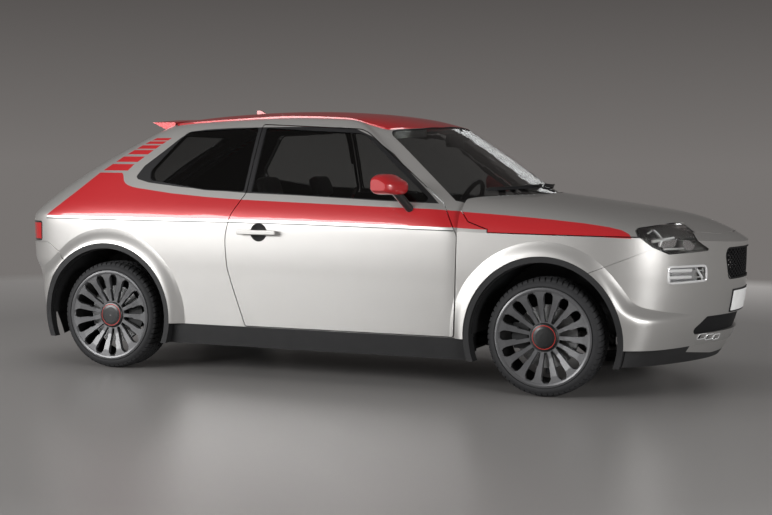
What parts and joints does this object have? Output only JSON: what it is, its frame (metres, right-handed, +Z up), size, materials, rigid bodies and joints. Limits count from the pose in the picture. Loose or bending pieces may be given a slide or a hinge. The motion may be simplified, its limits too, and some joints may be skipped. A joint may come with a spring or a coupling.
{
  "type": "rally hatchback car",
  "caption": "Compact three-door rally hatchback with steered front wheels, side doors, opening bonnet and tailgate.",
  "frame": {"origin": "on the ground, midway along the length and width", "axes": "+X to the nose, +Y to the car's left, +Z up"},
  "size_m": [4.0721, 2.04, 1.4691],
  "materials": {
    "silver_paint": "gloss metallic",
    "red_paint": "gloss",
    "underbody_paint": "satin",
    "black_trim": "grained",
    "tinted_glass": "tinted",
    "clear_lens": "clear",
    "lamp_chrome": "polished",
    "red_lens": "gloss",
    "grille_mesh": "gloss",
    "wheel_paint": "satin",
    "tyre_rubber": "matte",
    "brake_iron": "turned",
    "axle_iron": "painted",
    "engine_alloy": "cast",
    "seat_fabric": "woven",
    "cabin_plastic": "grained",
    "rim_leather": "smooth"
  },
  "bodies": {
    "chassis": {"floor_pan": "underbody_paint", "roof_panel": "red_paint", "front_bumper": "silver_paint", "rear_bumper": "silver_paint", "front_splitter": "black_trim", "rear_valance": "black_trim", "side_cladding": "black_trim", "wheel_liners": "black_trim", "grille": "grille_mesh", "headlamp_housings": "lamp_chrome", "headlamp_lenses": "clear_lens", "fog_lamps": "lamp_chrome", "tail_lamps": "red_lens", "windscreen": "tinted_glass", "quarter_windows": "tinted_glass", "cowl": "black_trim", "dashboard": "cabin_plastic", "front_seats": "seat_fabric", "rear_bench": "seat_fabric", "engine_block": "engine_alloy", "front_subframe": "axle_iron", "rear_axle": "axle_iron", "side_frame_left": "silver_paint", "side_frame_right": "silver_paint", "front_wing_left": "silver_paint", "front_wing_right": "silver_paint"},
    "bonnet": {"bonnet_panel": "silver_paint"},
    "tailgate": {"tailgate_shell": "silver_paint", "rear_screen": "tinted_glass", "rear_spoiler": "red_paint"},
    "steering_wheel": {"steering_wheel": "rim_leather"},
    "door_left": {"door_shell_left": "silver_paint", "door_glass_left": "tinted_glass", "mirror_left": "red_paint", "door_handle_left": "silver_paint"},
    "knuckle_left": {"knuckle_left": "axle_iron"},
    "door_right": {"door_shell_right": "silver_paint", "door_glass_right": "tinted_glass", "mirror_right": "red_paint", "door_handle_right": "silver_paint"},
    "knuckle_right": {"knuckle_right": "axle_iron"},
    "wheel_front_left": {"tyre_front_left": "tyre_rubber", "rim_front_left": "wheel_paint", "disc_front_left": "brake_iron"},
    "wheel_front_right": {"tyre_front_right": "tyre_rubber", "rim_front_right": "wheel_paint", "disc_front_right": "brake_iron"},
    "wheel_rear_left": {"tyre_rear_left": "tyre_rubber", "rim_rear_left": "wheel_paint", "disc_rear_left": "brake_iron"},
    "wheel_rear_right": {"tyre_rear_right": "tyre_rubber", "rim_rear_right": "wheel_paint", "disc_rear_right": "brake_iron"}
  },
  "joints": [
    {"name": "door_left", "type": "hinge", "parent": "chassis", "child": "door_left", "pos_m": [0.718, 0.857, 0.54], "axis": [0, 0, -1], "range_deg": [0, 65]},
    {"name": "door_right", "type": "hinge", "parent": "chassis", "child": "door_right", "pos_m": [0.718, -0.857, 0.54], "axis": [0, 0, 1], "range_deg": [0, 65]},
    {"name": "bonnet", "type": "hinge", "parent": "chassis", "child": "bonnet", "pos_m": [0.715, 0, 1], "axis": [0, -1, 0], "range_deg": [0, 50]},
    {"name": "tailgate", "type": "hinge", "parent": "chassis", "child": "tailgate", "pos_m": [-1.0894, 0, 1.417], "axis": [0, 1, 0], "range_deg": [0, 75]},
    {"name": "steer_left", "type": "hinge", "parent": "chassis", "child": "knuckle_left", "pos_m": [1.17, 0.7175, 0.3005], "axis": [0, 0, 1], "range_deg": [-32, 32]},
    {"name": "steer_right", "type": "hinge", "parent": "chassis", "child": "knuckle_right", "pos_m": [1.17, -0.7175, 0.3005], "axis": [0, 0, 1], "range_deg": [-32, 32]},
    {"name": "steering_wheel", "type": "hinge", "parent": "chassis", "child": "steering_wheel", "pos_m": [0.3692, 0.35, 0.89502], "axis": [-0.9135, 0, 0.4067], "range_deg": [-480, 480]},
    {"name": "roll_front_left", "type": "hinge", "parent": "knuckle_left", "child": "wheel_front_left", "pos_m": [1.17, 0.7175, 0.3005], "axis": [0, 1, 0], "continuous": true},
    {"name": "roll_front_right", "type": "hinge", "parent": "knuckle_right", "child": "wheel_front_right", "pos_m": [1.17, -0.7175, 0.3005], "axis": [0, 1, 0], "continuous": true},
    {"name": "roll_rear_left", "type": "hinge", "parent": "chassis", "child": "wheel_rear_left", "pos_m": [-1.35, 0.7175, 0.3005], "axis": [0, 1, 0], "continuous": true},
    {"name": "roll_rear_right", "type": "hinge", "parent": "chassis", "child": "wheel_rear_right", "pos_m": [-1.35, -0.7175, 0.3005], "axis": [0, 1, 0], "continuous": true}
  ],
  "couplings": [
    {"joint": "steer_right", "follows": "steer_left", "ratio": 1},
    {"joint": "steering_wheel", "follows": "steer_left", "ratio": 15}
  ]
}
